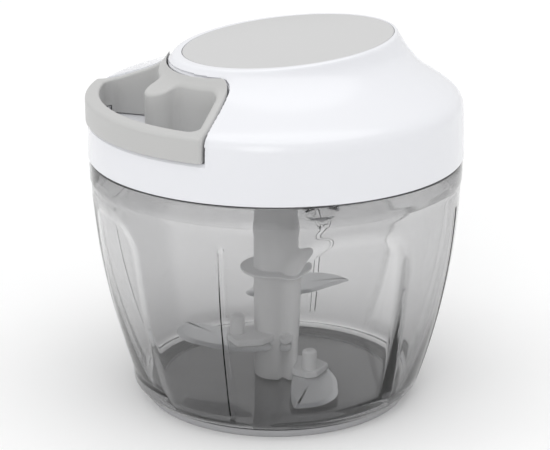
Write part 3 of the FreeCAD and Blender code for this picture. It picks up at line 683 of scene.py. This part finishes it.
def gripInner():
    # the finger well: round the nose, along the back, out beside the lid and round the front
    n = grip["counts"]
    flareX, reach = grip["noseR"] + grip["flare"], grip["backR"] + grip["flare"]
    flareY = grip["backY"] - math.sqrt(reach ** 2 - flareX ** 2)
    share = grip["backR"] / reach
    foot = (flareX * share, grip["backY"] + (flareY - grip["backY"]) * share)
    lean = grip["noseR"] * math.sqrt(0.5)
    tip, shoulder = (0, grip["noseY"] - grip["noseR"]), (grip["noseR"], flareY)
    nose = arc(tip, (lean, grip["noseY"] - lean), shoulder, n[0])
    flare = arc(shoulder, (flareX - 0.9 * grip["flare"], flareY + 0.45 * grip["flare"]), foot, n[1])
    first, via, last = grip["wellCorner"]
    start, end = (math.asin(point[0] / grip["backR"]) for point in (foot, first))
    turn = np.linspace(start, end, n[2], endpoint=False)
    rear = grip["backR"] * ringAt(turn) + [0, grip["backY"]]
    a, b, c = grip["wellFront"]
    turn = np.linspace(math.atan2(c[0], -c[1]), 0, n[6])
    return bothSides(np.vstack([nose, flare, rear, arc(first, via, last, n[3]), line(last, a, n[4]),
                                arc(a, b, c, n[5]), grip["wellR"] * ringAt(turn)]))


def gripTop(flat):
    return spline(grip["topR"], grip["topZ"], np.linalg.norm(flat, axis=-1))


def makeGrip():
    outer, inner = gripOuter(), gripInner()
    inwards, outwards = normalsOf(outer), -normalsOf(inner)
    angle = np.linspace(0, np.pi / 2, 8)
    rows = []

    def level(flat, z):
        rows.append(np.column_stack([flat, z]))

    low, across = np.full(len(outer), grip["lowZ"]), np.linspace(0, 1, 14)[1:-1]
    level(outer, low)
    topOut = gripTop(outer)
    side = np.clip((np.linalg.norm(outer, axis=1) - 38.5) / 4, 0, 1)
    edge = grip["rearEdge"] + (grip["outEdge"] - grip["rearEdge"]) * side
    for share in np.linspace(0.15, 1, 7):
        level(outer, low + (topOut - edge - low) * share)
    for a in angle[1:]:
        flat = outer + inwards * edge[:, None] * (1 - math.cos(a))
        level(flat, gripTop(flat) - edge * (1 - math.sin(a)))
    first, last = outer + inwards * edge[:, None], inner + outwards * grip["inEdge"]
    for share in across:
        flat = first * (1 - share) + last * share
        level(flat, gripTop(flat))
    for a in angle[::-1]:
        flat = inner + outwards * grip["inEdge"] * (1 - math.cos(a))
        level(flat, gripTop(flat) - grip["inEdge"] * (1 - math.sin(a)))
    topIn = gripTop(inner) - grip["inEdge"]
    for share in (0.7, 0.4, 0.0):
        level(inner, low + (topIn - low) * share)
    made = meshObject("gripBody", [surface(np.array(rows), wrapRows=True)])
    inR, outR, bottom, top = grip["skirtR"], grip["cutR"], grip["cutLowZ"], grip["skirtZ"]
    under = np.array([[inR, bottom], [outR, bottom], [outR, top], [inR, top]])
    carve(made, meshObject("skirtStep", [lathe(under, 360, wrapRows=True)]))
    room = lathe(np.array([[cord["knotRoom"], 98.0], [cord["knotRoom"], cord["z"] + 3.4]]), 64,
                 capFirst=True, capLast=True)
    carve(made, meshObject("knotRoom", [moved(room, y=cord["knotY"])]))
    bore = lathe(np.array([[cord["radius"] + 0.3, 36.0], [cord["radius"] + 0.3, -cord["knotY"]]]), 32,
                 capFirst=True, capLast=True)
    carve(made, meshObject("cordBore", [alongCord(bore)]))
    return seat(made, "handle", "grey_abs", greyAbs, "pull_handle")


makeGrip()
print("handle done")


# Bowl

bowl = {"side": ((49.4, 3.9), (51.5, 5.1), (52.6, 7.5), (61.2, 40.0), (65.8, 82.3)), "wall": 2.4,
        "floorZ": 3.4, "underZ": 1.2, "floorR": 46.0, "cornerR": 4.5, "collarR": 66.2, "collarZ": 82.3,
        "ledgeZ": 89.6, "rimR": 64.0, "rimZ": 97.0, "mouthR": 62.3, "bossR": 4.4, "bossZ": 6.8, "pinR": 2.5,
        "panelFacing": -3.5, "panelHalf": 24.2, "panelTaper": 0.95, "archZ": 61.2, "archTop": 79.2,
        "panelLowZ": 6.2, "panelDepth": 1.1, "panelSlope": 5.0,
        "grooveFacing": 46.8, "grooveHalf": 1.15, "grooveDepth": 0.6, "grooveTop": 74.6,
        "lugFacing": 76.6, "lugHalf": (5.5, 2.0), "lugZ": 86.5, "lugDepth": 1.0}


def bowlAngles():
    # even columns with closer ones at the four grooves
    even = np.radians(np.arange(0, 360, 1.0))
    fine = np.radians(np.linspace(-1.4, 1.4, 17))
    grooves = [math.radians(bowl["grooveFacing"] + 90 * k) + fine for k in range(4)]
    every = np.unique(np.round(np.concatenate([even] + grooves) % (2 * np.pi), 6))
    keep = np.concatenate([[True], np.diff(every) > 0.0012])
    return every[keep]


def smoothStep(t):
    t = np.clip(t, 0, 1)
    return t * t * (3 - 2 * t)


def panelDepth(angle, radius, z):
    # how far inside the arch a point is, over the width of its sloping border
    depth = np.zeros(np.broadcast(angle, z).shape)
    for k in range(4):
        middle = math.radians(bowl["panelFacing"] + 90 * k)
        x = radius * ((angle - middle + np.pi) % (2 * np.pi) - np.pi)
        rise = (bowl["archZ"] - z) / (bowl["archZ"] - bowl["panelLowZ"])
        half = bowl["panelHalf"] * (1 - (1 - bowl["panelTaper"]) * np.clip(rise, 0, 1))
        below = np.minimum(half - np.abs(x), z - bowl["panelLowZ"])
        up = np.maximum(z - bowl["archZ"], 0)
        away = np.sqrt(x ** 2 + up ** 2) + 1e-9
        rho = ((np.abs(x) / bowl["panelHalf"]) ** 2.6
               + (up / (bowl["archTop"] - bowl["archZ"])) ** 2.6) ** (1 / 2.6) + 1e-9
        above = away / rho - away
        gap = np.where(z > bowl["archZ"], above, below)
        ramp = np.clip(gap / bowl["panelSlope"], 0, 1)
        soft = 0.75 * ramp + 0.25 * smoothStep(ramp)
        depth = np.maximum(depth, bowl["panelDepth"] * soft)
    return depth


def bowlOuter(angle):
    # foot to mouth on the outside: a small round, a long belly, the collar, its ledge and the rim
    a, b, c, d, e = bowl["side"]
    side = np.vstack([arc(a, b, c, 8), arc(c, d, e, 96), [e]])
    collar = rounded([(e[0], e[1], 0), (bowl["collarR"], bowl["collarZ"] + 0.15, 0.1),
                      (bowl["collarR"], bowl["ledgeZ"], 0.5), (bowl["rimR"], bowl["ledgeZ"], 0.3),
                      (bowl["rimR"], bowl["rimZ"], 0.4), (bowl["mouthR"], bowl["rimZ"], 0.4),
                      (bowl["mouthR"], bowl["ledgeZ"], 0)], 4, closed=False)[1:-1]
    floor = np.array([(2.0, bowl["underZ"]), (20.0, bowl["underZ"]), (bowl["floorR"] - 1, bowl["underZ"]),
                      (bowl["floorR"], bowl["underZ"])])
    profile = np.vstack([floor, side, collar])
    radius = np.repeat(profile[:, :1], len(angle), 1)
    z = np.repeat(profile[:, 1:], len(angle), 1)
    belly = (z > bowl["side"][0][1]) & (z < bowl["collarZ"])
    turn = np.broadcast_to(angle, z.shape)
    sunk = panelDepth(turn, radius, z)
    for k in range(4):
        middle = math.radians(bowl["grooveFacing"] + 90 * k)
        x = np.abs(radius * ((turn - middle + np.pi) % (2 * np.pi) - np.pi))
        end = smoothStep((bowl["grooveTop"] - z) / 0.8) * smoothStep((z - bowl["side"][2][1]) / 1.5)
        sunk = np.maximum(sunk, bowl["grooveDepth"] * smoothStep((bowl["grooveHalf"] - x) / 0.35) * end)
    radius = radius - np.where(belly, sunk, 0)
    return np.concatenate([radius[..., None] * ringAt(angle)[None], z[..., None]], -1)


def bowlInner(angle):
    # mouth to floor on the inside: straight mouth with its lugs, belly, round corner, floor and boss
    a, b, c, d, e = bowl["side"]
    wall, low = bowl["wall"], bowl["side"][2][0] - bowl["wall"] - 0.9
    drop = np.linspace(bowl["rimZ"] - 1, bowl["collarZ"] + 1.6, 22)
    mouth = np.column_stack([np.full(22, bowl["mouthR"]), drop])
    belly = arc((e[0] - wall, e[1] - 1), (d[0] - wall, d[1]), (low, bowl["floorZ"] + bowl["cornerR"]), 44)
    base = rounded([(low, bowl["floorZ"] + bowl["cornerR"] + 1, 0),
                    (low, bowl["floorZ"], bowl["cornerR"] - 0.1), (bowl["bossR"], bowl["floorZ"], 0.5),
                    (bowl["bossR"], bowl["bossZ"], 0.3), (bowl["pinR"], bowl["bossZ"], 0.0),
                    (bowl["pinR"], bowl["floorZ"] - 0.6, 0)], 7, closed=False)
    profile = np.vstack([mouth, belly, base[1:]])
    radius = np.repeat(profile[:, :1], len(angle), 1)
    z = np.repeat(profile[:, 1:], len(angle), 1)
    for k in range(4):
        middle = math.radians(bowl["lugFacing"] + 90 * k)
        x = radius * ((angle[None] - middle + np.pi) % (2 * np.pi) - np.pi)
        rho = np.sqrt((x / bowl["lugHalf"][0]) ** 2 + ((z - bowl["lugZ"]) / bowl["lugHalf"][1]) ** 2)
        bulge = bowl["lugDepth"] * smoothStep((1.15 - rho) / 0.3)
        radius = radius - np.where(np.abs(z - bowl["lugZ"]) < 4, bulge, 0)
    return np.concatenate([radius[..., None] * ringAt(angle)[None], z[..., None]], -1)


def makeBowl():
    angle = bowlAngles()
    points = np.vstack([bowlOuter(angle), bowlInner(angle)])
    made = meshObject("bowlShell", [surface(points, capFirst=True, capLast=True)], 40)
    return seat(made, "bowl", "smoke_clear", smokeSan, "bowl")


makeBowl()
print("bowl done")


# Foot ring

# each corner of the ring's section is (radius, height, rounding)
foot = {"section": ((42.5, 0.0, 0.5), (47.6, 0.0, 1.0), (48.2, 2.0, 0.3), (48.0, 2.8, 0.1),
                    (46.0, 1.2, 0.1), (42.5, 1.2, 0.2)), "cornerSteps": 5}


def makeFoot():
    profile = rounded(foot["section"], foot["cornerSteps"])
    made = meshObject("footPad", [lathe(profile, 192, wrapRows=True)])
    return seat(made, "bowl", "foot_rubber", footTpe, "foot_ring")


makeFoot()


# Blade set

stem = {"radius": 8.1, "lowZ": 3.9, "shoulderZ": 84.0, "bore": 4.55, "boreTop": 62.0, "flangeR": 13.0,
        "flangeZ": 46.0, "hexAcross": 10.4, "topZ": 94.5, "armT": 2.6, "pegAt": 15.3, "pegR": 2.7,
        "pegH": 7.4, "armEdge": 1.2,
        "bladeT": 1.0, "bladeStep": 13.2, "bladeLowZ": 5.6, "facing": (116, 356, 236)}


def armOutline():
    corners = ((-5.5, -2.0), (-4.2, -17.0), (-1.0, -19.4), (8.0, -18.2), (9.8, -9.6), (6.2, -2.0))
    return rounded([(x, y, stem["armEdge"]) for x, y in corners], 6)


def bladeOutline():
    # leading edge nearly straight, tip and back in two arcs
    return np.vstack([line((-4.0, -7.4), (-12.0, -12.0), 6), line((-12.0, -12.0), (-24.6, -26.4), 24),
                      arc((-24.6, -26.4), (-16.4, -33.0), (-2.0, -29.2), 26),
                      arc((-2.0, -29.2), (7.6, -20.4), (12.6, -9.4), 20),
                      arc((12.6, -9.4), (9.8, -5.6), (6.0, -5.4), 8), line((6.0, -5.4), (-4.0, -7.4), 6)])


def bladeZ(level):
    return stem["bladeLowZ"] + stem["bladeStep"] * level


def makeStem():
    top, flange = stem["shoulderZ"], stem["flangeZ"]
    profile = rounded([(stem["bore"], stem["lowZ"], 0.2), (stem["radius"], stem["lowZ"], 0.5),
                       (stem["radius"], flange, 0.3), (stem["flangeR"], flange, 0.3),
                       (stem["flangeR"], flange + 1, 0.3), (stem["radius"], flange + 1, 0.4),
                       (stem["radius"], top, 0.4), (7.0, top + 0.6, 0.1), (1.5, top + 0.6, 0.0),
                       (1.5, stem["boreTop"], 0.0), (stem["bore"], stem["boreTop"], 0.3)], 5)
    corner = stem["hexAcross"] / math.sqrt(3)
    turns = np.radians(range(0, 360, 60))
    hexagon = rounded([(corner * math.sin(a), -corner * math.cos(a), 0.4) for a in turns], 3)
    parts = [lathe(profile, 128, wrapRows=True), slab(hexagon, top + 0.5, stem["topZ"], 0.4, inward=-1.0)]
    for level, facing in enumerate(stem["facing"]):
        z = bladeZ(level) + stem["bladeT"]
        parts.append(turned(slab(armOutline(), z, z + stem["armT"], 0.6, inward=-1.0), facing))
    made = meshObject("bladeStem", parts)
    return seat(made, "blades", "stem_grey", stemPoly, "blade_stem")


def makeBlade(level, name):
    # the plate's outer edge is ground: the top face comes down to a thin edge over the last two millimetres
    z, outline = bladeZ(level), bladeOutline()
    normal = -normalsOf(outline)
    ground = np.array([0.0, 0.12, 0.9, 1.8, 2.0])
    lift = np.array([0.12, 0.2, 0.62, 0.97, 1.0]) * stem["bladeT"]
    rows = [np.column_stack([outline, np.full(len(outline), z)])]
    for g, h in zip(ground, lift):
        rows.append(np.column_stack([outline + normal * g, np.full(len(outline), z + h)]))
    part = surface(np.array(rows), capFirst=True, capLast=True)
    made = meshObject("bladeLeaf." + name, [turned(part, stem["facing"][level])], 18)
    hole = lathe(np.array([[stem["radius"] - 0.3, z - 2.0], [stem["radius"] - 0.3, z + 3.0]]), 64,
                 capFirst=True, capLast=True)
    carve(made, meshObject("stemHole", [hole]), 18)
    return seat(made, "blades", "blade_steel", bladeSteel, "blade_" + name)


def makePeg(level, name):
    low = bladeZ(level) + stem["bladeT"] + stem["armT"]
    profile = rounded([(1.0, low - 1.0, 0), (stem["pegR"], low - 1.0, 0),
                       (stem["pegR"], low + stem["pegH"], 1.3), (1.0, low + stem["pegH"], 0)],
                      7, closed=False)
    peg = moved(lathe(profile, 48, capFirst=True, capLast=True), y=-stem["pegAt"])
    made = meshObject("bladePeg." + name, [turned(peg, stem["facing"][level])])
    return seat(made, "blades", "stem_grey", stemPoly, "peg_" + name)


makeStem()
for level, name in enumerate(("low", "middle", "high")):
    makeBlade(level, name)
    makePeg(level, name)
print("blade set done")


# Cord

def makeCordRun():
    # a braided round: radius = r + b sin(8 a + 9 t) sin(8 a - 9 t), drawn out between the lid and the handle
    rows, cols = 40, 64
    t = np.linspace(0, 1, rows)[:, None]
    angle = np.linspace(0, 2 * np.pi, cols, endpoint=False)[None]
    radius = cord["radius"] + cord["braid"] * np.sin(8 * angle + 9 * t) * np.sin(8 * angle - 9 * t)
    way = -cord["eyeY"] + t * (cord["eyeY"] - cord["knotY"] - 1.4) + 0 * angle
    points = np.stack([radius * np.sin(angle), radius * -np.cos(angle), way], -1)
    made = meshObject("drawCord", [alongCord(surface(points, capFirst=True, capLast=True))])
    made.data.materials.append(cordNylon)
    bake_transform(made)
    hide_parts("cord_run")
    return made


def tubeAlong(path, radius, cols=10):
    # a round carried along a path near the reel: one axis points out from the reel's middle, the other up
    out = path * [1, 1, 0]
    out /= np.linalg.norm(out, axis=1, keepdims=True)
    angle = np.linspace(0, 2 * np.pi, cols, endpoint=False)
    ring = out[:, None] * np.cos(angle)[None, :, None] + np.array([0, 0, 1.0]) * np.sin(angle)[None, :, None]
    return surface(path[:, None] + ring * radius, capFirst=True, capLast=True)


winding = {"turns": 4.4, "firstR": 16.15, "outPerTurn": 0.55, "lowZ": 108.7, "climb": 2.2}


def makeWinding():
    # a spiral that goes up and down over two turns each way, a little further out each turn
    # its turns are closer than the cord is thick, so they overlap inside the closed lid
    turns = np.linspace(0, winding["turns"], 420)
    layer = np.floor(turns / 2)
    share = turns / 2 - layer
    height = np.where(layer % 2 == 0, share, 1 - share)
    radius = winding["firstR"] + winding["outPerTurn"] * turns
    angle = 2 * np.pi * turns
    z = winding["lowZ"] + winding["climb"] * height
    path = np.stack([radius * np.cos(angle), radius * np.sin(angle), z], -1)
    made = meshObject("woundCord", [tubeAlong(path, cord["radius"] - 0.02)])
    return seat(made, "reel", "cord_white", cordNylon, "cord_winding")


makeCordRun()
makeWinding()
print("cord done")


# CAD pieces that keep their own shape

finishes = {"spindle_pin": pinSteel, "lid_base": whiteAbs, "lid_seal": silicone, "lid_screws": zinc,
            "hub_bush": acetal, "spring_case": acetal, "case_screws": zinc, "spring_cover": acetal,
            "recoil_spring": springSteel, "reel_axle": pinSteel, "cord_eyelet": acetal,
            "cord_lead": cordNylon,
            "knot_plug": greyAbs, "cord_knot": cordNylon, "cord_reel": nylon, "drive_hub": nylon,
            "drive_socket": acetal, "pawl_pins": pinSteel, "stem_bush": acetal, "pawl_a": acetal,
            "pawl_b": acetal}
for nodeName, material in finishes.items():
    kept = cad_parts[nodeName]
    kept.data.materials.clear()
    kept.data.materials.append(material)
